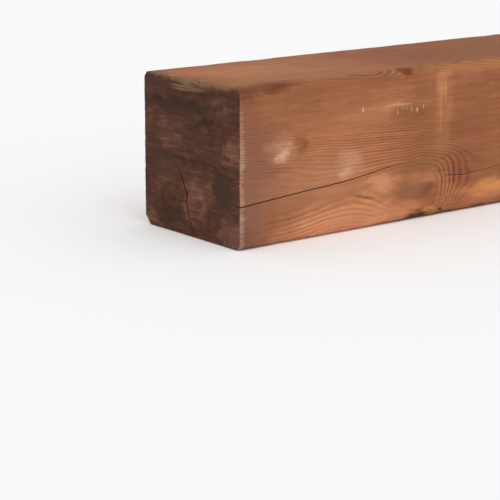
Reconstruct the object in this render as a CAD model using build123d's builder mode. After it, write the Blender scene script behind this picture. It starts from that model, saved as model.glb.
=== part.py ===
from build123d import *
import os

# One impregnated pine post: sawn square, planed and cut to length. Sizes are in mm.
# X runs along the grain, from the end with the open checks at -X. The front is at -Y, and +Z is up.
# The origin lies under the middle of the post, on the floor that it rests on.

side = 145
length = 2400

# The planer rounds the long arrises. The one at the back of the underside is waney, which leaves it flat.
arris_radius = 6.5
wane = 8
end_ease = 1.5

# The pith is the middle of the growth rings. Each drying check is a wedge that opens on the way out from it.
pith_from_front = 77
pith_height = 37

# A check is this wide at its foot. The tool that cuts it stands this far clear of the face it opens.
foot_width = 0.25
overrun = 0.5

# The end check climbs from the underside through the pith, bends there and closes above it.
# Each point gives its distance from the front, its height and the check's width there.
end_check = [(69, -overrun, 0.8), (74.5, 18, 1.2), (pith_from_front, pith_height, 1.9), (84, 49, 1.3), (92, 64, 0)]
end_check_reach = 260
end_check_foot_height = 9

# The long check starts at the end and climbs across the front with the slope of the grain.
# Each point gives its distance from the end, its height and the check's width there.
long_check = [(-overrun, 39.7, 1.1), (64, 44.4, 1.0), (128, 48.4, 0.9), (172, 54.3, 0.6), (209, 58, 0)]
long_check_depth = 9

# The short check lies beyond it, dips with the grain and closes at both tips.
short_check = [(241, 39.3, 0), (256, 37.6, 0.6), (273, 36.1, 0.9), (296, 37.4, 0.8), (345, 40.2, 0)]
short_check_depth = 7

# The foot of a check in the front face is shorter than its mouth by this share.
foot_loss = 0.2

half_side = side / 2
near_end = -length / 2


def slit(plane, points):
    """Draws a thin outline along the points, as wide at each as its third number says."""
    chord = Vector(*points[-1][:2]) - Vector(*points[0][:2])
    across = chord.normalized().rotate(Axis.Z, 90)
    one_wall = [Vector(u, v) + across * (width / 2) for u, v, width in points]
    other_wall = [Vector(u, v) - across * (width / 2) for u, v, width in points]
    with BuildSketch(plane) as outline:
        with BuildLine():
            Polyline(*one_wall)
            Polyline(*other_wall)
            if points[0][2] > 0:
                Line(one_wall[0], other_wall[0])
        make_face()
    return outline.sketch


def cut_end_check():
    """Cuts the end check, which shrinks along the grain to a low slit in the underside."""
    mouth = [(out - half_side, height, width) for out, height, width in end_check]
    foot_share = end_check_foot_height / end_check[-1][1]
    first_y = mouth[0][0]
    foot = [(first_y + (y - first_y) * foot_share, z * foot_share, min(w, foot_width)) for y, z, w in mouth[1:]]
    at_end = slit(Plane.YZ.offset(near_end - overrun), mouth)
    inside = slit(Plane.YZ.offset(near_end + end_check_reach), [(first_y, -overrun, foot_width), *foot])
    loft([at_end, inside], ruled=True, mode=Mode.SUBTRACT)


def cut_front_check(points, depth):
    """Cuts a check into the front face, leaning towards the pith."""
    lean = depth / pith_from_front
    starts_at_end = points[0][2] > 0
    held = points[0][0] if starts_at_end else (points[0][0] + points[-1][0]) / 2
    mouth = [(near_end + run, height, width) for run, height, width in points]
    foot = [
        (near_end + held + (run - held) * (1 - foot_loss), height + lean * (pith_height - height), min(w, foot_width))
        for run, height, w in points
    ]
    at_face = slit(Plane.XZ.offset(half_side + overrun), mouth)
    inside = slit(Plane.XZ.offset(half_side - depth), foot)
    loft([at_face, inside], ruled=True, mode=Mode.SUBTRACT)


with BuildPart() as post:
    with BuildSketch(Plane.YZ.offset(near_end)) as section:
        Rectangle(side, side, align=(Align.CENTER, Align.MIN))
        waney_corner = (half_side, 0)
        fillet(section.vertices().sort_by_distance(waney_corner)[1:], radius=arris_radius)
        chamfer(section.vertices().sort_by_distance(waney_corner)[0], length=wane)
    extrude(amount=length)

    # The rims of the sawn ends are worn a little.
    rims = post.faces().filter_by(Axis.X).edges()
    chamfer(rims, length=end_ease)

    cut_end_check()
    cut_front_check(long_check, long_check_depth)
    cut_front_check(short_check, short_check_depth)

post.part.label = "post"

os.makedirs("parts", exist_ok=True)
export_step(post.part, "parts/post.step")
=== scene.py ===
import math
import random

import bpy
from mathutils import Euler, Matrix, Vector


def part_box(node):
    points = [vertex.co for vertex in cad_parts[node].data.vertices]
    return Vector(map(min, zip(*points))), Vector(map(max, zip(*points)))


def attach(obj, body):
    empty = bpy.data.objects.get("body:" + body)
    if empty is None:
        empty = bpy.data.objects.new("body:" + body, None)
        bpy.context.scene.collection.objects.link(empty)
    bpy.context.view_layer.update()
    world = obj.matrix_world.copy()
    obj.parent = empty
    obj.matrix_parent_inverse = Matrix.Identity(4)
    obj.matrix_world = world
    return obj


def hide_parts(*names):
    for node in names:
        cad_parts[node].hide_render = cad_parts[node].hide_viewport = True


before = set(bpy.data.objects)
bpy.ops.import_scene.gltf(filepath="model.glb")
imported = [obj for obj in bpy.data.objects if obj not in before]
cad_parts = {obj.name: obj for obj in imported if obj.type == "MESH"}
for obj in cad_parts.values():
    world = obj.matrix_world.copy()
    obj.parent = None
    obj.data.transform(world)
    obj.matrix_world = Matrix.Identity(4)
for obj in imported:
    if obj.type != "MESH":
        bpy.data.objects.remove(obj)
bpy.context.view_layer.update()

MM = 0.001

# The post's own sizes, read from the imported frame. NEAR_END is the end with the open checks.
post_low, post_high = (Vector(corner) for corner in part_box("post"))
LENGTH, SIDE, _ = post_high - post_low
NEAR_END, FRONT, FLOOR = post_low

# The machined shape. The profile is how flat the waney arris is rounded.
ARRIS_RADIUS = 6.5 * MM
WANE, WANE_PROFILE = 8 * MM, 0.25
END_EASE = 1.5 * MM

# The mesh: strips across each face, round each arris and along the post, which is finer near its checked end
STRIPS_ACROSS = 92
STRIPS_ON_ARRIS = 6
FINE_STRETCH = 480 * MM
STRIPS_FINE = 120
STRIPS_COARSE = 68

# Places in the wood are in mm: the run from the checked end, the depth from the front and the height. The
# pith lies here at the checked end and wanders along the post: how far it drops and bends, and in what run.
PITH = (77, 37)
PITH_DROP, DROP_WAVE = 16, 1300
PITH_BEND, BEND_WAVE = 6, 870

# The checks: each point is a place with the check's width there. Then come how deep it goes in, how many
# steps it is made of and how far it wavers.
END_CHECK = (
    (68, -0.5, 1.1),
    (72.5, 13.4, 1.2),
    (76.3, 21, 1.3),
    (79.2, 30.5, 1.5),
    (78.2, 38, 2.1),
    (82, 46, 1.7),
    (87.8, 57, 1.4),
    (92.5, 64, 0.1),
)
END_CHECK_REACH, END_CHECK_FOOT_HEIGHT = 260, 9
END_CHECK_STEPS, END_CHECK_WAVER = 42, 0.3
LONG_CHECK = ((-0.5, 39.7, 1.1), (64, 44.4, 1.0), (128, 48.4, 1.0), (172, 54.3, 0.9), (209, 58, 0.05))
LONG_CHECK_DEPTH = 9
SHORT_CHECK = ((241, 39.3, 0.05), (256, 37.6, 0.6), (273, 36.1, 0.7), (296, 37.4, 0.6), (345, 40.2, 0.05))
SHORT_CHECK_DEPTH = 7
FRONT_CHECK_STEPS, FRONT_CHECK_WAVER = 60, 0.18
# A check's foot is this wide. In the front face it is shorter than its mouth by the second number, a share.
FOOT_WIDTH, FOOT_LOSS = 0.25, 0.2
# The blade that opens a check stands this far clear of the face
OVERRUN = 0.5
SWAY = random.Random(5)

# Camera of the photo: its place in metres, turn from +Y towards +X, dip and roll in degrees, and its lens
CAMERA_PLACE = (-2.1373, -1.2767, 0.3773)
CAMERA_TURN, CAMERA_DIP, CAMERA_ROLL = 38.22, 13.82, -0.08
CAMERA_LENS = 128.39

# The studio: how much light the surround gives, and each softbox's name, where it stands, its softness in
# degrees and its brightness. They are wide soft suns, so that the floor is evenly lit.
SURROUND_LIGHT = 0.62
SOFTBOXES = (
    ("softbox above", (-0.30, -0.30, 0.91), 50, 1.04),
    ("softbox in front", (0.15, -0.85, 0.50), 60, 0.44),
)


def only(obj):
    """Selects one object and nothing else."""
    bpy.ops.object.select_all(action="DESELECT")
    obj.select_set(True)
    bpy.context.view_layer.objects.active = obj


def pick(obj, edges=None, faces=None):
    """In edit mode, selects the edges or faces that pass a test on their middle and direction or normal."""
    bpy.ops.object.mode_set(mode="OBJECT")
    bpy.context.tool_settings.mesh_select_mode = (False, edges is not None, faces is not None)
    mesh = obj.data
    for part in (mesh.vertices, mesh.edges, mesh.polygons):
        part.foreach_set("select", [False] * len(part))
    if edges:
        for edge in mesh.edges:
            a, b = (mesh.vertices[v].co for v in edge.vertices)
            edge.select = edges((a + b) / 2, b - a)
    if faces:
        for face in mesh.polygons:
            face.select = faces(face.center, face.normal)
    bpy.ops.object.mode_set(mode="EDIT")


def runs_along(axis):
    """A test for edges that run along one axis."""
    return lambda middle, way: abs(way[axis]) > 0.999 * way.length


def face_outwards(obj):
    """Turns every face outwards and leaves edit mode."""
    pick(obj, faces=lambda centre, normal: True)
    bpy.ops.mesh.normals_make_consistent(inside=False)
    bpy.ops.object.mode_set(mode="OBJECT")


def machined_post():
    """The planed timber, from a cube: arrises bevelled, faces cut in strips, ends eased and filled."""
    bpy.ops.mesh.primitive_cube_add(size=1, location=(post_low + post_high) / 2)
    post = bpy.context.object
    post.name = post.data.name = "impregnated_pine_post"
    post.scale = (LENGTH, SIDE, SIDE)
    bpy.ops.object.transform_apply(location=True, rotation=False, scale=True)
    only(post)

    # The four long arrises: three are rounded by the planer and the low one at the back is waney
    waney = Vector((-FRONT, FLOOR))
    bevel = {"segments": STRIPS_ON_ARRIS, "affect": "EDGES", "clamp_overlap": False}
    pick(post, edges=lambda m, w: runs_along(0)(m, w) and (m.yz - waney).length > SIDE / 2)
    bpy.ops.mesh.bevel(offset=ARRIS_RADIUS, **bevel)
    pick(post, edges=lambda m, w: runs_along(0)(m, w) and (m.yz - waney).length < MM)
    bpy.ops.mesh.bevel(offset=WANE, profile=WANE_PROFILE, **bevel)

    # The end faces go, the side faces are cut into strips and the whole into stations along the post
    pick(post, faces=lambda c, n: abs(n.x) > 0.9)
    bpy.ops.mesh.delete(type="FACE")
    for axis in (1, 2):
        pick(post, edges=lambda m, w: runs_along(axis)(m, w) and w.length > SIDE / 2)
        bpy.ops.mesh.subdivide(number_cuts=STRIPS_ACROSS - 1)
    pick(post, faces=lambda c, n: True)
    seam = NEAR_END + FINE_STRETCH
    bpy.ops.mesh.bisect(plane_co=(seam, 0, 0), plane_no=(1, 0, 0))
    for strips, low, high in ((STRIPS_FINE, NEAR_END, seam), (STRIPS_COARSE, seam, -NEAR_END)):
        pick(post, edges=lambda m, w: runs_along(0)(m, w) and low < m.x < high)
        bpy.ops.mesh.subdivide(number_cuts=strips - 1)

    # Each rim is drawn in and rounded over in two steps, and its end face is filled with a grid
    centre = Vector((0, 0, FLOOR + SIDE / 2))
    for end in (NEAR_END, -NEAR_END):
        way = math.copysign(1, end)
        pick(post, edges=lambda m, w: abs(m.x - end) < MM / 10 and abs(w.x) < MM / 10)
        bpy.ops.transform.translate(value=(-way * END_EASE, 0, 0))
        for out, shrink in ((0.6, 0.25), (0.4, 0.75)):
            factor = 1 - 2 * shrink * END_EASE / SIDE
            bpy.ops.mesh.extrude_edges_move(TRANSFORM_OT_translate={"value": (way * out * END_EASE, 0, 0)})
            bpy.ops.transform.resize(value=(1, factor, factor), center_override=centre)
        bpy.ops.mesh.fill_grid(span=STRIPS_ACROSS + STRIPS_ON_ARRIS, offset=STRIPS_ON_ARRIS // 2)
    face_outwards(post)
    return post


def in_wood(run, depth, height):
    """A place in the wood in mm, as a point of the scene in metres."""
    return Vector((NEAR_END + run * MM, FRONT + depth * MM, FLOOR + height * MM))


def between(points, share):
    """The point at a share of the way along a row of points."""
    place = share * (len(points) - 1)
    i = min(int(place), len(points) - 2)
    return [a + (b - a) * (place - i) for a, b in zip(points[i], points[i + 1])]


def blade(points, mouth_place, foot_place, across, steps, waver):
    """A thin ragged wedge, from a cube cut into steps. Its mouth and foot follow the points."""
    bpy.ops.object.select_all(action="DESELECT")
    bpy.ops.mesh.primitive_cube_add(size=1)
    piece = bpy.context.object
    pick(piece, edges=runs_along(0))
    bpy.ops.mesh.subdivide(number_cuts=steps - 1)
    bpy.ops.object.mode_set(mode="OBJECT")
    sway = [SWAY.uniform(-waver, waver) for _ in range(steps + 1)]
    for vertex in piece.data.vertices:
        share = vertex.co.x + 0.5
        u, v, width = between(points, share)
        width = width if vertex.co.z > 0 else min(width, FOOT_WIDTH)
        place = mouth_place if vertex.co.z > 0 else foot_place
        side = math.copysign(width / 2, vertex.co.y) + sway[round(share * steps)]
        vertex.co = place(u, v) + across * side * MM
    face_outwards(piece)
    return piece


def end_blade():
    """Opens the end check, which shrinks along the grain to a low slit in the underside."""
    start = END_CHECK[0][0]
    low = END_CHECK_FOOT_HEIGHT / END_CHECK[-1][1]
    return blade(
        END_CHECK,
        lambda u, v: in_wood(-OVERRUN, u, v),
        lambda u, v: in_wood(END_CHECK_REACH, start + (u - start) * low, v * low if v > 0 else v),
        Vector((0, 1, -0.25)),
        END_CHECK_STEPS,
        END_CHECK_WAVER,
    )


def front_blade(points, depth):
    """Opens a check in the front face that leans towards the pith. It closes towards where it is held."""
    lean = depth / PITH[0]
    starts_at_end = points[0][0] < 0
    held = points[0][0] if starts_at_end else (points[0][0] + points[-1][0]) / 2
    return blade(
        points,
        lambda u, v: in_wood(u, -OVERRUN, v),
        lambda u, v: in_wood(u + (held - u) * FOOT_LOSS, depth, v + (PITH[1] - v) * lean),
        Vector((0, 0, 1)),
        FRONT_CHECK_STEPS,
        FRONT_CHECK_WAVER,
    )


def cut(piece, blades):
    """Takes the blades out of the piece."""
    for tool in blades:
        only(piece)
        modifier = piece.modifiers.new("check", "BOOLEAN")
        modifier.object = tool
        modifier.operation = "DIFFERENCE"
        modifier.solver = "EXACT"
        bpy.ops.object.modifier_apply(modifier=modifier.name)
        bpy.data.objects.remove(tool)


def mark_skin(piece):
    skin = piece.data.attributes.new("skin", "FLOAT", "FACE")
    skin.data.foreach_set("value", [1] * len(skin.data))


def mark_checks(piece):
    """Marks the checks: 1 along their mouths, where the wood splintered, and -1 on their walls, which get
    painted shade.
    """
    walls = {i for i, mark in enumerate(piece.data.attributes["skin"].data) if mark.value < 0.5}
    rims = {vertex for i in walls for vertex in piece.data.polygons[i].vertices}
    marks = piece.data.attributes.new("check", "FLOAT", "CORNER")
    for face in piece.data.polygons:
        for corner, vertex in zip(face.loop_indices, face.vertices):
            marks.data[corner].value = -1 if face.index in walls else vertex in rims


def from_hex(colour):
    """The linear colour of an sRGB hex value."""
    parts = (int(colour[i : i + 2], 16) / 255 for i in (1, 3, 5))
    return (*(c / 12.92 if c <= 0.04045 else ((c + 0.055) / 1.055) ** 2.4 for c in parts), 1)


def add(tree, kind, *values, out=0, stops=(), **settings):
    """Adds a node with its settings, its stops and its inputs, by order or dict, and gives one output."""
    node = tree.nodes.new(kind)
    for name, value in settings.items():
        setattr(node, name, value)
    for _ in stops[2:]:
        node.color_ramp.elements.new(0.5)
    for i, (at, colour) in enumerate(stops):
        node.color_ramp.elements[i].position = at
        node.color_ramp.elements[i].color = from_hex(colour)
    named = values[0] if values and isinstance(values[0], dict) else dict(enumerate(values))
    for key, value in named.items():
        if isinstance(value, bpy.types.NodeSocket):
            tree.links.new(value, node.inputs[key])
        else:
            node.inputs[key].default_value = from_hex(value) if isinstance(value, str) else value
    return node.outputs[out]


# The kinds of node that come up most, and some of their settings
MATH, VECTOR, RANGE, MIX = "ShaderNodeMath", "ShaderNodeVectorMath", "ShaderNodeMapRange", "ShaderNodeMix"
TIMES = {"operation": "MULTIPLY"}
SOFTLY = {"interpolation_type": "SMOOTHSTEP"}
COLOURS = {"data_type": "RGBA", "clamp_factor": True, "out": 2}

# The rings are oval, half as high as they are deep. Each swell bends them: its middle, its half sizes, its
# half length past the middle, its flat share, and how many mm it moves a ring.
OVAL = 0.5
SWELLS = (
    ((133, 0, 11), (80, 50, 33), 78, 0.2, 3.7),
    ((209, 0, 24), (79, 60, 60), 45, 0.3, -2.4),
    ((214, 0, 84), (130, 60, 60), 82, 0.4, -3.2),
    ((227, 0, 66), (24, 40, 24), 130, 0.3, -1.8),
    ((241, 0, 1), (25, 40, 61), 25, 0.0, -3.5),
    ((284, 0, 23), (45, 50, 59), 25, 0.0, 2.5),
    ((344, 0, 12), (131, 70, 60), 400, 0.2, 12.7),
    ((0, 0, 85), (130, 60, 34), 130, 0.6, -3.0),
)
RINGS_PER_MM, FIRST_RING = 0.52, -20.3

# Knots of the whorl that shows: run, where each comes out (depth, height), radius there, pull on the rings
SHOWN_KNOTS = (
    (214, (2, -7), 16, 6),
    (199, (4, 146), 9, 7),
    (205, (145, 92), 9, 6),
)
# The whorls that no view of the photo reaches, a year's growth apart, with knots spread round the pith
FAR_WHORLS = (655, 1065, 1500, 1920, 2310)
KNOTS_IN_WHORL = 4
# A branch leans towards the top of the tree by this share, and draws the rings out this many radii round it.
KNOT_LEAN, KNOT_REACH = 0.12, 2.4
# It is a little longer along the grain, and its pull reaches twice as far that way
KNOT_STRETCH, PULL_STRETCH = 0.8, 0.5
# Its radius is given this far out from the pith, and the post's faces all lie within the second number
RADIUS_AT, FARTHEST_OUT = 75, 120


def pith_at(run):
    """The pith's depth and height there."""
    drop = PITH_DROP * (math.cos(run * math.tau / DROP_WAVE) - 1)
    return Vector((PITH[0] + PITH_BEND * math.sin(run * math.tau / BEND_WAVE), PITH[1] + drop))


def knots(chance):
    """Every knot: its run at the pith, its angle, its radius, its pull on the rings and how far it pulls."""
    found = []
    for run, place, radius, pull in SHOWN_KNOTS:
        out = Vector(place) - pith_at(run)
        start = run - KNOT_LEAN * out.length
        size = radius * RADIUS_AT / out.length
        found.append((start, math.atan2(out.y, out.x), size, pull, radius * KNOT_REACH))
    for run in FAR_WHORLS:
        turn = chance.uniform(0, math.tau)
        for i in range(KNOTS_IN_WHORL):
            angle = turn + (i + chance.uniform(-0.2, 0.2)) * math.tau / KNOTS_IN_WHORL
            radius = chance.uniform(6, 15)
            found.append((run + chance.uniform(-22, 22), angle, radius, radius * 0.8, radius * KNOT_REACH))
    return found


KNOTS = knots(random.Random(11))


def streaks(tree, place, sizes, detail=2.0, out=0):
    """Noise whose features have these sizes in mm, along the run, the depth and the height."""
    shrunk = add(tree, VECTOR, place, tuple(1 / s for s in sizes), **TIMES)
    return add(tree, "ShaderNodeTexNoise", {"Vector": shrunk, "Scale": 1.0, "Detail": detail}, out=out)


def waver(tree, place, sizes, detail):
    """Streaks that go as far below nothing as above it."""
    return add(tree, MATH, streaks(tree, place, sizes, detail), 0.5, operation="SUBTRACT")


def patch(tree, place, centre, sizes, past=None, core=0.25, square=False):
    """One inside a soft oval or square patch, nothing outside. Its half length past its middle may differ."""
    away = add(tree, VECTOR, place, centre, operation="SUBTRACT")
    far_sizes = (past or sizes[0], *sizes[1:])
    before = add(tree, VECTOR, away, tuple(-1 / s for s in sizes), **TIMES)
    after = add(tree, VECTOR, away, tuple(1 / s for s in far_sizes), **TIMES)
    reach = add(tree, VECTOR, before, after, operation="MAXIMUM")
    if square:
        # The fourth root of the sum of fourth powers
        for _ in range(2):
            reach = add(tree, VECTOR, reach, reach, **TIMES)
        powers = add(tree, VECTOR, reach, (1, 1, 1), operation="DOT_PRODUCT", out=1)
        distance = add(tree, MATH, powers, 0.25, operation="POWER")
    else:
        distance = add(tree, VECTOR, reach, operation="LENGTH", out=1)
    return add(tree, RANGE, distance, core, 1.1, 1.0, 0.0, **SOFTLY)


def weighed(tree, first, *pairs):
    """A value plus patterns, each times its own weight."""
    for pattern, weight in pairs:
        first = add(tree, MATH, pattern, weight, first, operation="MULTIPLY_ADD")
    return first


def grain(tree, place):
    """The wood at a place: how late in the year it grew, and how many radii it is from the nearest knot."""
    run = add(tree, "ShaderNodeSeparateXYZ", place)
    # The pith wanders with the stem, and the grain slopes with it
    drop = add(tree, MATH, add(tree, MATH, run, math.tau / DROP_WAVE, **TIMES), operation="COSINE")
    bend = add(tree, MATH, add(tree, MATH, run, math.tau / BEND_WAVE, **TIMES), operation="SINE")
    pith_depth = weighed(tree, PITH[0], (bend, PITH_BEND))
    pith_height = weighed(tree, PITH[1] - PITH_DROP, (drop, PITH_DROP))
    pith = add(tree, "ShaderNodeCombineXYZ", 0.0, pith_depth, pith_height)
    local = add(tree, VECTOR, place, pith, operation="SUBTRACT")
    flat = add(tree, VECTOR, local, (0, OVAL, 1), **TIMES)

    # The grain arches over the front, turns back round an overgrown knot beyond, and wavers all along
    radius = weighed(
        tree,
        add(tree, VECTOR, flat, operation="LENGTH", out=1),
        *((patch(tree, place, c, s, past, core), move) for c, s, past, core, move in SWELLS),
        (waver(tree, place, (260, 50, 50), 1), 2.0),
        (waver(tree, place, (60, 16, 16), 2), 1.6),
        (waver(tree, place, (14, 5, 5), 1), 0.6),
    )

    # Each branch draws the rings out round it
    nearest = None
    for at, angle, size, pull, reach in KNOTS:
        moved = add(tree, VECTOR, local, (at, 0, 0), operation="SUBTRACT")
        turned = add(tree, "ShaderNodeVectorRotate", {0: moved, "Angle": -angle}, rotation_type="X_AXIS")
        shift, out, aside = add(tree, "ShaderNodeSeparateXYZ", turned).node.outputs
        along = weighed(tree, shift, (out, -KNOT_LEAN))
        girth = add(tree, RANGE, out, 0, FARTHEST_OUT, 0.001, size * FARTHEST_OUT / RADIUS_AT)
        across = add(tree, "ShaderNodeCombineXYZ", add(tree, MATH, along, KNOT_STRETCH, **TIMES), 0.0, aside)
        away = add(tree, VECTOR, across, operation="LENGTH", out=1)
        ratio = add(tree, MATH, away, girth, operation="DIVIDE")
        nearest = ratio if nearest is None else add(tree, MATH, nearest, ratio, operation="MINIMUM")
        spread = add(tree, "ShaderNodeCombineXYZ", add(tree, MATH, along, PULL_STRETCH, **TIMES), 0.0, aside)
        spread = add(tree, VECTOR, spread, operation="LENGTH", out=1)
        drawn = add(tree, RANGE, spread, 0, reach, 1, 0, **SOFTLY)
        drawn = add(tree, MATH, drawn, add(tree, RANGE, out, 0, 30, 0, 1), **TIMES)
        radius = weighed(tree, radius, (drawn, -pull))

    # Late wood darkens through the summer and stops at once, and some years leave more of it than others
    rings = weighed(tree, FIRST_RING, (radius, RINGS_PER_MM))
    season = add(tree, MATH, rings, operation="FRACT")
    darkens = add(tree, RANGE, season, 0.15, 0.7, 0, 1, **SOFTLY)
    stops = add(tree, RANGE, season, 0.75, 1.0, 1, 0, **SOFTLY)
    year = add(tree, "ShaderNodeCombineXYZ", rings, 0.0, 0.0)
    harvest = add(tree, RANGE, streaks(tree, year, (1.3, 1, 1), 1), 0.3, 0.7, 0.35, 1.3)
    return add(tree, MATH, add(tree, MATH, darkens, stops, **TIMES), harvest, **TIMES), nearest


def place_in_wood(tree, position):
    """A position in metres as a place in the wood, in mm."""
    corner = (-NEAR_END / MM, -FRONT / MM, -FLOOR / MM)
    return add(tree, VECTOR, position, (1 / MM, 1 / MM, 1 / MM), corner, operation="MULTIPLY_ADD")


def near_ends(tree, run, depth, soft=1.0):
    """One within so many mm of either end."""
    middle = LENGTH / MM / 2
    from_middle = add(tree, MATH, add(tree, MATH, run, middle, operation="SUBTRACT"), operation="ABSOLUTE")
    return add(tree, RANGE, from_middle, middle - depth, middle - depth + soft, 0, 1)


def raise_grain(post):
    """Wears the faces down between the rings, dishes the knots, rubs the arrises and scores the sawn ends."""
    tree = bpy.data.node_groups.new("raised grain", "GeometryNodeTree")
    for way in ("INPUT", "OUTPUT"):
        tree.interface.new_socket(name="Geometry", in_out=way, socket_type="NodeSocketGeometry")
    shape = add(tree, "NodeGroupInput")
    place = place_in_wood(tree, add(tree, "GeometryNodeInputPosition"))
    late, knot = grain(tree, place)
    run = add(tree, "ShaderNodeSeparateXYZ", place)
    on_end = near_ends(tree, run, 0.6, soft=0.5)

    half = SIDE / MM / 2
    centred = add(tree, VECTOR, place, (0, half, half), operation="SUBTRACT")
    outward = add(tree, VECTOR, centred, (0, 1, 1), **TIMES)
    out = add(tree, VECTOR, outward, operation="LENGTH", out=1)
    on_arris = add(tree, RANGE, out, half * 1.33, half * 1.38, 0, 1)
    knocks = add(tree, RANGE, streaks(tree, place, (30, 12, 12), 3), 0.5, 0.8, 0.1, 1)
    nicks = add(tree, RANGE, streaks(tree, place, (7, 7, 7), 3), 0.5, 0.8, 0, 1)

    # The weights are heights in mm
    side = weighed(
        tree,
        -0.12,
        (late, 0.12),
        (add(tree, RANGE, streaks(tree, place, (300, 60, 60), 1), 0.4, 0.7, 0, 1), -0.25),
        (add(tree, RANGE, knot, 0.6, 1.15, 1, 0, **SOFTLY), -0.45),
        (add(tree, MATH, on_arris, knocks, **TIMES), -1.3),
        (add(tree, MATH, near_ends(tree, run, 4.0), nicks, **TIMES), -0.6),
    )
    sawn = weighed(
        tree,
        0.0,
        (streaks(tree, place, (9, 50, 2.4), 2), -0.4),
        (streaks(tree, place, (9, 30, 30), 1), -0.2),
        (late, 0.06),
    )
    lift = add(tree, MATH, add(tree, MIX, {0: on_end, 2: side, 3: sawn}), 0.0, operation="MINIMUM")
    normal = add(tree, "GeometryNodeInputNormal")
    offset = add(tree, VECTOR, {0: normal, "Scale": add(tree, MATH, lift, MM, **TIMES)}, operation="SCALE")
    worn = add(tree, "GeometryNodeSetPosition", {"Geometry": shape, "Offset": offset})
    tree.links.new(worn, tree.nodes.new("NodeGroupOutput").inputs[0])

    modifier = post.modifiers.new("raised grain", "NODES")
    modifier.node_group = tree
    only(post)
    bpy.ops.object.modifier_apply(modifier=modifier.name)


# Where the stain took less or more, and two strips of painted shade along arrises: middle of each patch, its
# half sizes, its half length past the middle and how much lighter it is
STAIN_AND_SHADE_PATCHES = (
    ((130, 0, 70), (110, 40, 70), 90, 0.25),
    ((130, 0, 4), (110, 60, 32), 84, 0.66),
    ((163, 0, 40), (20, 20, 12), 40, 0.24),
    ((205, 0, 14), (30, 20, 12), 20, 0.24),
    ((214, 0, 38), (20, 20, 10), 40, 0.22),
    ((227, 0, 28), (14, 30, 8), 8, -0.16),
    ((250, 0, 28), (16, 30, 30), 16, 0.16),
    ((345, 0, 18), (95, 40, 12), 120, 0.36),
    ((0, 72, 72), (34, 300, 300), 34, -0.10),
    ((0, 0, 140), (26, 30, 14), 22, -0.24),
    ((40, 0, 144), (34, 30, 8), 46, -0.34),
    ((2, 0, 16), (30, 30, 22), 26, -0.26),
    ((176, 0, 121), (40, 20, 12), 40, 0.10),
    ((180, 0, 112), (34, 20, 6), 34, 0.16),
    ((206, 0, 104), (20, 20, 12), 20, -0.10),
    ((68, 0, 87), (9, 6, 10), 10, -0.16),
    ((212, 0, 141), (20, 14, 6), 16, -0.16),
    ((250, 0, 138), (14, 14, 5), 14, 0.20),
    ((300, 0, 142), (60, 14, 8), 200, 0.14),
    ((84, 84, 145), (80, 50, 12), 60, 0.16),
    ((300, 72, 147), (130, 120, 12), 2400, -0.22),
    # Painted shade: a dark strip along the back top arris, where its rounding turns from the light
    ((200, 149, 149), (400, 10, 10), 2400, -0.6),
    ((0, 100, 147), (16, 90, 9), 16, -0.20),
    ((264, 0, 70), (22, 20, 40), 60, -0.06),
    ((246, 0, 5), (8, 8, 3), 8, -0.5),
    # Painted shade: a dark strip along the front bottom arris, where the post rests
    ((200, 0, -1), (400, 6, 4), 2400, -0.4),
)
# Where its colour differs: each patch as above, then its colour and how much of it
TINT_PATCHES = (
    ((345, 0, 20), (86, 30, 9), 110, "#d5924a", 0.6),
    ((229, 0, 9.5), (10, 8, 5.5), 9, "#bd914f", 0.65),
    ((0, 0, 55), (52, 100, 95), 52, "#8e6654", 0.6),
    ((0, 145, 90), (6, 60, 80), 6, "#766454", 0.5),
    ((0, 90, 147), (7, 90, 8), 7, "#75603f", 0.8),
    ((18, 112, 146), (22, 30, 10), 30, "#b06850", 0.6),
    ((420, 72, 147), (240, 120, 12), 2400, "#8c5834", 0.6),
    ((84, 60, 148), (110, 90, 10), 200, "#9d6b43", 0.4),
    ((118, 50, 147), (26, 16, 9), 40, "#ad7c60", 0.35),
    ((214, 120, 147), (14, 26, 8), 14, "#854636", 0.6),
    ((300, 118, 147), (22, 16, 8), 30, "#a65c4e", 0.35),
    ((90, 0, 52), (70, 30, 34), 60, "#b07c62", 0.4),
    ((163, 0, 41), (22, 20, 13), 30, "#d09270", 0.35),
    ((207, 0, 30), (32, 30, 13), 26, "#8e5c45", 0.65),
    ((69, 0, 87), (9, 6, 10), 10, "#84502f", 0.4),
    ((222, 80, 146), (30, 100, 10), 30, "#8c5238", 0.6),
    ((283, 0, 94), (18, 10, 10), 16, "#8f5038", 0.4),
    ((198, 0, 107), (20, 10, 7), 26, "#8f6a40", 0.3),
    ((280, 0, 143), (120, 14, 8), 300, "#b98050", 0.4),
    ((176, 0, 143), (14, 12, 6), 12, "#83604f", 0.5),
    ((262, 0, 136), (40, 10, 5), 44, "#b27a5c", 0.4),
)
# Where the rings show more or less: the same, with how much darker their late wood is
LINE_PATCHES = (
    ((130, 0, 14), (110, 60, 24), 50, 0.32),
    ((150, 0, 34), (24, 20, 12), 26, 0.20),
    ((160, 0, 74), (140, 40, 34), 120, 0.28),
    ((24, 0, 86), (40, 40, 30), 60, 0.20),
    ((249, 0, 36), (17, 40, 34), 50, 0.27),
    ((230, 0, 145), (140, 14, 9), 220, 0.5),
    ((200, 0, 30), (30, 30, 12), 30, -0.12),
)
# Rubbed spots, where the surface is pale: middle, half sizes and how much
SCUFFS = (
    ((50, 0, 80.5), (14, 6, 9), 0.8),
    ((47, 0, 86), (26, 6, 20), 0.35),
    ((59, 0, 90), (4, 6, 6), 0.3),
    ((124, 0, 55), (12, 6, 7), 0.55),
    ((128, 0, 66), (22, 6, 18), 0.38),
)
# The mark of the sticker that the post lay on while it dried: its middle, half sizes, and how much lighter
STICKER_MARK = (
    ((246, 0, 95), (12.5, 6, 47), 0.12),
    ((243, 0, 128), (9, 6, 14), 0.17),
    ((242.5, 0, 102), (1.7, 6, 28), 0.13),
    ((248, 0, 117), (1.4, 6, 12), 0.12),
    ((256.5, 0, 112), (1.3, 6, 22), 0.05),
)
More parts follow.
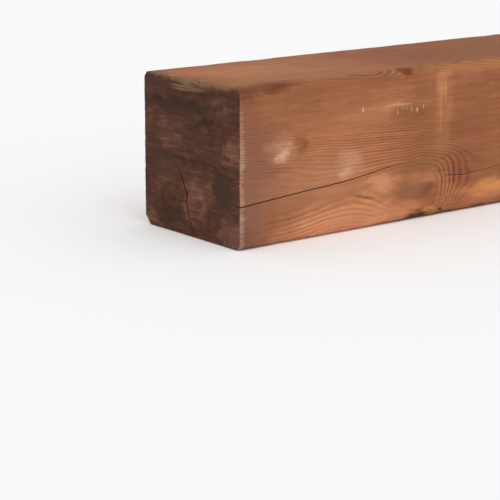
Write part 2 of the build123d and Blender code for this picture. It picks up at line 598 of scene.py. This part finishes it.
# Where the planer tore the surface: the same for each pale fleck
TEAR_OUTS = (
    ((186, 0, 112.8), (26, 4, 2.4), 0.5),
    ((150, 0, 112), (18, 4, 2), 0.2),
    ((143.4, 0, 112), (2.2, 4, 4.4), 0.8),
    ((187, 0, 106), (1.8, 4, 6.5), 0.35),
    ((193, 0, 109), (1.8, 4, 4.5), 0.22),
    ((198, 0, 108.5), (1.8, 4, 5), 0.26),
    ((203.6, 0, 107.5), (2.2, 4, 6), 0.3),
    ((211, 0, 106), (2.8, 4, 4), 0.7),
    ((219.6, 0, 108), (1.5, 4, 5), 0.6),
    ((309, 0, 122), (7, 4, 2), 0.12),
    ((314, 0, 109), (7, 4, 2.6), 0.12),
)
# The checked end: patches in the sawn wood, as middle, half sizes and how much lighter
END_PATCHES = (
    ((0, 88, 120), (12, 58, 9), -0.34),
    ((0, 28, 120), (12, 16, 10), 0.22),
    ((0, 42, 108), (12, 14, 9), -0.25),
    ((0, 34, 131), (12, 20, 6), 0.15),
    ((0, 12, 87), (12, 20, 17), 0.30),
    ((0, 4, 84), (12, 8, 0.8), -1.0),
    ((0, 26, 53), (12, 13, 23), -0.30),
    ((0, 56, 46), (12, 26, 20), 0.20),
    ((0, 100, 83), (12, 32, 13), 0.20),
    ((0, 82, 71), (12, 64, 3), -0.20),
    ((0, 70, 32), (12, 26, 24), 0.26),
    ((0, 108, 20), (12, 26, 16), -0.12),
    ((0, 60, 134), (12, 70, 7), -0.10),
    ((0, 118, 102), (12, 16, 10), 0.20),
    ((0, 116, 44), (12, 14, 10), 0.24),
    ((0, 8, 12), (12, 30, 18), 0.28),
    ((0, 134, 12), (12, 12, 14), 0.24),
    ((0, 72, 145), (12, 90, 5.5), 0.42),
    ((0, 145, 72), (12, 4, 90), -0.40),
    ((0, 0, 72), (12, 4, 90), 0.20),
)
# The same, as colour and how much of it
END_TINTS = (
    ((0, 132, 36), (12, 12, 20), "#5e3536", 0.5),
    ((0, 66, 40), (12, 30, 26), "#6a4238", 0.3),
    ((0, 8, 12), (12, 26, 16), "#785446", 0.4),
    ((0, 12, 87), (12, 20, 17), "#7c5444", 0.5),
    ((0, 26, 53), (12, 14, 24), "#4a3727", 0.6),
    ((0, 70, 118), (12, 75, 10), "#493529", 0.4),
    ((0, 110, 58), (12, 40, 16), "#50392b", 0.4),
    ((0, 110, 98), (12, 34, 14), "#67463c", 0.35),
    ((0, 140, 138), (12, 16, 12), "#4e3336", 0.5),
    ((0, 60, 144.5), (12, 80, 6), "#86694c", 0.75),
    ((0, 58, 143), (12, 3, 5), "#3a2a20", 0.7),
    ((0, 145, 80), (12, 3, 60), "#3e3c3e", 0.5),
)
# Where splinters hang on it: the same, and how thickly they hang
END_SPLINTERS = (
    ((0, 16, 4), (12, 26, 9), 0.7),
    ((0, 138, 10), (12, 12, 12), 0.5),
    ((0, 74, 36), (12, 12, 14), 0.4),
    ((0, 70, 110), (12, 60, 30), 0.1),
)


# The colours of the planed and of the sawn wood, from where most stain was taken up to where least was
PLANED_TONES = ((0.0, "#54301f"), (0.25, "#7e4b33"), (0.5, "#9a6242"), (0.75, "#b77954"), (1.0, "#d08f66"))
SAWN_TONES = ((0.0, "#35231c"), (0.5, "#5b392b"), (1.0, "#92684f"))


def planed_wood(tree, place, late, knot, ragged):
    """The colour of the planed faces, from the stain and the painted shade on two arrises up to what was done
    to the post later.
    """
    run, _, height = add(tree, "ShaderNodeSeparateXYZ", place).node.outputs
    stain_and_shade_place = add(tree, VECTOR, ragged, (44, 16, 16), place, operation="MULTIPLY_ADD")
    scuffed = add(tree, VECTOR, ragged, (24, 10, 10), place, operation="MULTIPLY_ADD")
    ripped = add(tree, VECTOR, ragged, (4, 2, 5), place, operation="MULTIPLY_ADD")

    # Past the stretch that the photo shows, the stain and the rings vary as freely as they like
    beyond = add(tree, RANGE, run, 330, 520, 0, 1)
    clouds = add(tree, MATH, beyond, waver(tree, place, (330, 34, 34), 3), **TIMES)
    lines = weighed(tree, 0.06, *((patch(tree, place, c, s, past), w) for c, s, past, w in LINE_PATCHES))
    lines = weighed(tree, lines, (beyond, 0.12))

    # The grain curls over the branch that the front face just misses
    over_branch = patch(tree, place, (247, 0, 15), (16, 20, 10))
    curls = add(tree, MATH, over_branch, waver(tree, place, (2.4, 2.4, 2.4), 2), **TIMES)

    # Fibres are 0.03 mm thick, too fine to show, so they are drawn in bundles 1.2 mm thick and 18 mm long.
    # The planer's knife marks are 2 mm apart and are drawn 14 mm apart for the same reason.
    tone = weighed(
        tree,
        0.06,
        (streaks(tree, place, (180, 26, 26), 3), 0.26),
        (streaks(tree, place, (60, 5, 5), 3), 0.34),
        (streaks(tree, place, (18, 1.2, 1.2), 3), 0.30),
        (waver(tree, place, (14, 60, 60), 1), 0.08),
        (curls, 1.0),
        (clouds, 0.7),
        (add(tree, MATH, late, lines, **TIMES), -1.0),
        # Stain patches, and the painted shade along the back top and front bottom arrises
        *((patch(tree, stain_and_shade_place, c, s, past), w) for c, s, past, w in STAIN_AND_SHADE_PATCHES),
        *((patch(tree, place, c, s, core=0.5, square=True), w) for c, s, w in STICKER_MARK),
    )
    wood = add(tree, "ShaderNodeValToRGB", tone, stops=PLANED_TONES)
    hues = add(tree, "ShaderNodeSeparateColor", streaks(tree, place, (80, 26, 26), 3, out=1)).node.outputs
    for hue, colour in zip(hues, ("#a4563f", "#94683e")):
        share = add(tree, RANGE, hue, 0.5, 0.7, 0.0, 0.25)
        wood = add(tree, MIX, {0: share, 6: wood, 7: colour}, **COLOURS)
    for centre, sizes, past, colour, strength in TINT_PATCHES:
        share = add(tree, MATH, patch(tree, stain_and_shade_place, centre, sizes, past), strength, **TIMES)
        wood = add(tree, MIX, {0: share, 6: wood, 7: colour}, **COLOURS)

    rubbed = streaks(tree, place, (6, 3, 2), 4)
    for centre, sizes, strength in SCUFFS:
        spot = add(tree, MATH, patch(tree, scuffed, centre, sizes, core=0), rubbed, **TIMES)
        share = add(tree, RANGE, spot, 0.03, 0.45, 0.0, strength)
        wood = add(tree, MIX, {0: share, 6: wood, 7: "#d9a78c"}, **COLOURS)
    fibres = streaks(tree, place, (3, 1, 1), 2)
    for centre, sizes, strength in TEAR_OUTS:
        torn = add(tree, MATH, patch(tree, ripped, centre, sizes, core=0), fibres, **TIMES)
        share = add(tree, RANGE, torn, 0.1, 0.5, 0.0, strength)
        wood = add(tree, MIX, {0: share, 6: wood, 7: "#dcb48e"}, **COLOURS)

    # The eased rim of each end is bare, pale wood, frayed along the fibres, less so near the top
    fraying = weighed(
        tree,
        streaks(tree, place, (30, 1.4, 1.4), 4),
        (streaks(tree, place, (30, 9, 9), 3), 1.2),
        (late, -0.2),
    )
    bare = add(tree, MATH, near_ends(tree, run, 15, soft=12), fraying, **TIMES)
    bare = add(tree, MATH, bare, add(tree, RANGE, height, 90, 140, 1.0, 0.7), **TIMES)
    share = add(tree, RANGE, bare, 0.72, 1.15, 0.0, 0.8)
    wood = add(tree, MIX, {0: share, 6: wood, 7: "#b58f7d"}, **COLOURS)

    # Knots are darker, and their edges run out into the grain. The one at the top arris is redder.
    core = add(tree, RANGE, streaks(tree, place, (9, 4, 4), 3), 0.4, 0.65)
    heart = add(tree, MIX, {0: core, 6: "#432a1e", 7: "#6e4030"}, **COLOURS)
    redder = add(tree, MATH, patch(tree, place, (199, 0, 145), (40, 30, 30)), 0.8, **TIMES)
    heart = add(tree, MIX, {0: redder, 6: heart, 7: "#7a4028"}, **COLOURS)
    fringed = weighed(tree, knot, (streaks(tree, place, (14, 2, 2), 3), 0.8))
    share = add(tree, RANGE, fringed, 1.0, 1.6, 1, 0, **SOFTLY)
    return add(tree, MIX, {0: share, 6: wood, 7: heart}, **COLOURS)


def sawn_wood(tree, place, late, ragged):
    """The colour of the sawn ends: the marks of the saw, stains, long scratches and hanging splinters."""
    smeared = add(tree, VECTOR, ragged, (0, 60, 8), place, operation="MULTIPLY_ADD")
    tone = weighed(
        tree,
        -0.64,
        (streaks(tree, place, (9, 26, 0.9), 3), 0.75),
        (streaks(tree, place, (9, 40, 4), 3), 0.60),
        (streaks(tree, place, (9, 12, 6), 4), 0.70),
        (late, -0.08),
        *((patch(tree, smeared, c, s), w) for c, s, w in END_PATCHES),
    )
    wood = add(tree, "ShaderNodeValToRGB", tone, stops=SAWN_TONES)
    for centre, sizes, colour, strength in END_TINTS:
        share = add(tree, MATH, patch(tree, smeared, centre, sizes), strength, **TIMES)
        wood = add(tree, MIX, {0: share, 6: wood, 7: colour}, **COLOURS)

    near_top = patch(tree, place, (0, 75, 136.5), (12, 62, 7))
    scratches = add(tree, MATH, near_top, streaks(tree, place, (9, 60, 0.8), 2), **TIMES)
    share = add(tree, RANGE, scratches, 0.44, 0.58, 0.0, 0.5)
    wood = add(tree, MIX, {0: share, 6: wood, 7: "#a88869"}, **COLOURS)
    lint = streaks(tree, place, (3, 3.4, 1.6), 3)
    for centre, sizes, strength in END_SPLINTERS:
        hanging = add(tree, MATH, patch(tree, smeared, centre, sizes), strength, **TIMES)
        share = add(tree, RANGE, weighed(tree, lint, (hanging, 0.2)), 0.73, 0.86, 0.0, 0.6)
        wood = add(tree, MIX, {0: share, 6: wood, 7: "#a98a74"}, **COLOURS)
    return wood


def impregnated_pine():
    """Pressure impregnated Scots pine, planed on its sides and sawn on its ends. The brown salts soak into
    the early wood and leave the late wood as darker lines. They sit darkest in the open pores of the ends and
    in the knots, and the finish is matt."""
    material = bpy.data.materials.new("impregnated pine")
    material.use_nodes = True
    tree = material.node_tree
    tree.nodes.clear()
    place = place_in_wood(tree, add(tree, "ShaderNodeTexCoord", out=3))
    late, knot = grain(tree, place)
    # Stains, scuffs and tears have ragged edges
    ragged = streaks(tree, place, (22, 9, 9), 4, out=1)
    ragged = add(tree, VECTOR, ragged, (0.5, 0.5, 0.5), operation="SUBTRACT")
    planed = planed_wood(tree, place, late, knot, ragged)
    sawn = sawn_wood(tree, place, late, ragged)
    on_end = near_ends(tree, add(tree, "ShaderNodeSeparateXYZ", place), 0.9, soft=0.4)
    colour = add(tree, MIX, {0: on_end, 6: planed, 7: sawn}, **COLOURS)

    # The mouth of a check is splintered and pale, and its walls are painted dark as shade in the narrow gap
    check = add(tree, "ShaderNodeAttribute", out=2, attribute_name="check")
    splintered = add(tree, MATH, check, streaks(tree, place, (4, 3, 3), 2), **TIMES)
    share = add(tree, RANGE, splintered, 0.35, 0.8, 0.0, 0.6)
    colour = add(tree, MIX, {0: share, 6: colour, 7: "#b58a72"}, **COLOURS)
    # Painted shade on the check walls
    share = add(tree, RANGE, check, -0.9, -0.1, 1.0, 0.0)
    colour = add(tree, MIX, {0: share, 6: colour, 7: "#4e2b1f"}, **COLOURS)

    # The relief is in the mesh, apart from the fibres, which are drawn in bundles of 0.5 mm so that they show
    bumps = weighed(tree, 0.0, (late, 0.2), (streaks(tree, place, (20, 0.5, 0.5), 2), 0.6))
    bump = add(tree, "ShaderNodeBump", {"Strength": 0.4, "Distance": 0.2 * MM, "Height": bumps})
    finish = {"Base Color": colour, "Roughness": 0.7, "IOR": 1.5, "Specular IOR Level": 0.08, "Normal": bump}
    shader = add(tree, "ShaderNodeBsdfPrincipled", finish)
    tree.links.new(shader, tree.nodes.new("ShaderNodeOutputMaterial").inputs[0])
    return material


def camera_of_photo():
    """The photo's camera, fitted to the post's edges."""
    data = bpy.data.cameras.new("camera")
    data.sensor_width = 36
    data.lens = CAMERA_LENS
    camera = bpy.data.objects.new("camera", data)
    bpy.context.scene.collection.objects.link(camera)
    camera.location = CAMERA_PLACE
    camera.rotation_euler = Euler([math.radians(a) for a in (90 - CAMERA_DIP, CAMERA_ROLL, -CAMERA_TURN)])
    bpy.context.scene.camera = camera


def studio():
    """A pale floor, a white surround, and soft light from above and from the front."""
    bpy.ops.object.select_all(action="DESELECT")
    bpy.ops.mesh.primitive_plane_add(size=60, location=(0, 0, FLOOR))
    floor = bpy.context.object
    floor.name = "floor"
    paint = bpy.data.materials.new("matt white paint")
    paint.use_nodes = True
    finish = paint.node_tree.nodes["Principled BSDF"].inputs
    finish["Base Color"].default_value = from_hex("#fafafa")
    finish["Roughness"].default_value = 0.9
    floor.data.materials.append(paint)

    world = bpy.data.worlds.new("surround")
    bpy.context.scene.world = world
    world.use_nodes = True
    tree = world.node_tree
    tree.nodes.clear()
    rays = add(tree, "ShaderNodeLightPath").node.outputs
    seen = add(tree, MATH, rays["Is Camera Ray"], rays["Is Glossy Ray"], operation="MAXIMUM")
    seen = add(tree, MATH, seen, rays["Is Transmission Ray"], operation="MAXIMUM")
    strength = add(tree, MIX, {0: seen, 2: SURROUND_LIGHT, 3: 1.0})
    light = add(tree, "ShaderNodeBackground", {"Color": "#ffffff", "Strength": strength})
    tree.links.new(light, tree.nodes.new("ShaderNodeOutputWorld").inputs[0])

    for name, towards, softness, strength in SOFTBOXES:
        lamp = bpy.data.lights.new(name, "SUN")
        lamp.angle = math.radians(softness)
        lamp.energy = strength
        holder = bpy.data.objects.new(name, lamp)
        bpy.context.scene.collection.objects.link(holder)
        holder.rotation_euler = Vector(towards).to_track_quat("Z", "Y").to_euler()


camera_of_photo()
studio()
post = machined_post()
raise_grain(post)
mark_skin(post)
blades = [end_blade(), front_blade(LONG_CHECK, LONG_CHECK_DEPTH), front_blade(SHORT_CHECK, SHORT_CHECK_DEPTH)]
cut(post, blades)
mark_checks(post)
only(post)
bpy.ops.object.shade_smooth_by_angle(angle=math.radians(40))
post.data.materials.clear()
post.data.materials.append(impregnated_pine())

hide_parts("post")
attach(post, "root")
bpy.context.scene.view_settings.view_transform = "Standard"
